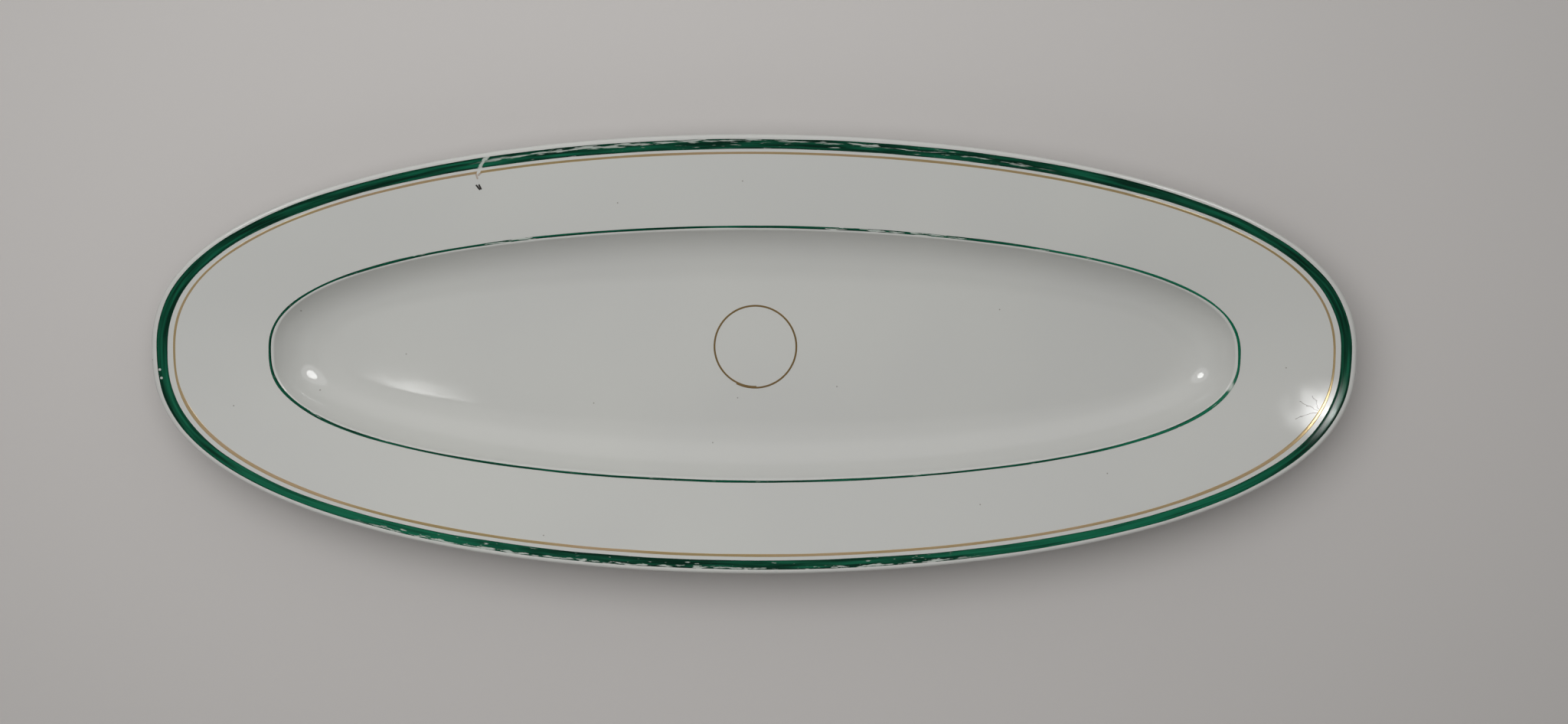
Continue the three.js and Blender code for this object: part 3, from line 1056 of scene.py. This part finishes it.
scene.world = bpy.data.worlds.new("even_sky")
scene.world.use_nodes = True
scene.world.node_tree.nodes.clear()
sky_nodes = Nodes(scene.world.node_tree)
sky_way = sky_nodes.add("ShaderNodeTexCoord", output="Generated")
toward_right, toward_far_side, upward = sky_nodes.split(sky_way)
overhead = upward.rise(0.68, 0.90)
lean = 1 + SKY_FAR_LEAN * toward_far_side - SKY_LEFT_LEAN * toward_right
ends = 1 - SKY_END_SHADE * toward_right * toward_right
sky_light = SKY_SIDES * lean * ends * (1 - overhead) + SKY_TOP * overhead
sky = sky_nodes.add("ShaderNodeBackground", {}, {"Color": SKY_COLOUR, "Strength": sky_light})
sky_nodes.add("ShaderNodeOutputWorld", {}, {"Surface": sky})
print("Floor", FLOOR_SIZE, "metres wide, and a sky of", len(sky_nodes.tree.nodes), "nodes")


# %% Hang the broad light and the round lamps
def soft_light(name, place, aim, length, breadth, radiance, spread=math.pi, along=(1, 0, 0)):
    """An oval area light with its length along a way. A narrow spread works as a honeycomb grid does."""
    lamp = bpy.data.lights.new(name, "AREA")
    lamp.shape = "ELLIPSE"
    lamp.size = length
    lamp.size_y = breadth
    lamp.spread = spread
    grid_share = 1 - (spread / 2) / math.tan(spread / 2)
    lamp.energy = radiance * grid_share * math.pi * math.pi * length * breadth / 4
    light = bpy.data.objects.new(name, lamp)
    back = (Vector(place) - Vector(aim)).normalized()
    side = back.cross(Vector(along)).normalized()
    turn = Matrix((side.cross(back), side, back)).transposed()
    light.matrix_world = Matrix.Translation(place) @ turn.to_4x4()
    scene.collection.objects.link(light)
    return light


LEFT_SPOT = (-0.226, -0.012, 0.013)
RIGHT_SPOT = (0.227, -0.011, 0.013)
# Each lamp's name, place, aim, width and radiance
ROUND_LAMPS = (
    ("upper_right_lamp", (0.78, 0.78, 1.05), LEFT_SPOT, 0.45, 9.0),
    ("upper_right_halo", (0.82, 0.82, 1.10), LEFT_SPOT, 1.1, 1.5),
    ("upper_left_lamp", (-0.91, 0.67, 1.03), RIGHT_SPOT, 0.30, 11.0),
    ("upper_left_halo", (-0.95, 0.70, 1.08), RIGHT_SPOT, 0.85, 1.5),
)

top_light = soft_light("top_light", (-0.14, 0.26, 0.92), (0, 0, 0), 0.85, 0.85, 3.5)
top_light.visible_glossy = False
for lamp_name, lamp_place, lamp_aim, lamp_width, radiance in ROUND_LAMPS:
    round_lamp = soft_light(lamp_name, lamp_place, lamp_aim, lamp_width, lamp_width, radiance)
    round_lamp.visible_diffuse = False
print("Round lamps:", len(ROUND_LAMPS))

# %% Hang the rows of lamps with grids
GRID_SPREAD = math.radians(2.5)
GLOW_AIM = (0.283, -0.027, 0.035)
GLOW_CORE = (0.309, 0.047, 3.0)
# Each row's two ends, its number of lamps, their breadth and their radiance
GLOW_ROWS = (
    (((0.245, -0.17, 3.0), (0.325, 0.26, 3.0)), 9, 0.05, 11.0),
    (((0.225, -0.10, 3.0), (0.290, 0.20, 3.0)), 7, 0.06, 8.0),
    (((0.310, -0.20, 3.0), (0.385, 0.24, 3.0)), 9, 0.06, 2.0),
)
STREAK_ROW = ((-0.545, -0.185, 1.5), (-0.420, -0.2255, 1.5))
STREAK_AIMS = ((-0.196, -0.012, 0.009), (-0.149, -0.027, 0.009))


def lamp_row(name, ends, aims, count, breadth, radiance):
    """A row of overlapping lamps, each aimed at its own point, and dimmer towards both ends of the row."""
    along = Vector(ends[1]) - Vector(ends[0])
    length = 2 * along.length / (count - 1)
    for i in range(count):
        place = Vector(ends[0]).lerp(Vector(ends[1]), i / (count - 1))
        aim = Vector(aims[0]).lerp(Vector(aims[1]), i / (count - 1))
        fade = math.sin(math.pi * (i + 1) / (count + 1))
        soft_light(name, place, aim, length, breadth, radiance * fade, GRID_SPREAD, along)


soft_light("glow_lamp", GLOW_CORE, GLOW_AIM, 0.06, 0.06, 32.0, GRID_SPREAD)
for row_ends, lamp_count, lamp_breadth, radiance in GLOW_ROWS:
    lamp_row("glow_lamp", row_ends, (GLOW_AIM, GLOW_AIM), lamp_count, lamp_breadth, radiance)
lamp_row("streak_lamp", STREAK_ROW, STREAK_AIMS, 9, 0.012, 7.0)
print("Lights:", len(bpy.data.lights))

# %% [markdown]
# ## The pieces on the platter's body
# Every piece rides on the platter's one body, and the faceted node it was made from is hidden.

# %% Tie the pieces to the frame
PIECES = (
    (body, "porcelain_body", "biscuit"),
    (face_glaze, "glaze_coat", "glaze"),
    (base_glaze, "glaze_base", "glaze"),
    (band, "green_rim_band", "green_enamel"),
    (gold_line, "gold_rim_line", "gold"),
    (verge_line, "green_verge_line", "green_enamel"),
    (ring, "gold_centre_ring", "gold"),
)
for piece, node, slot in PIECES:
    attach(piece, "root")
    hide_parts(node)
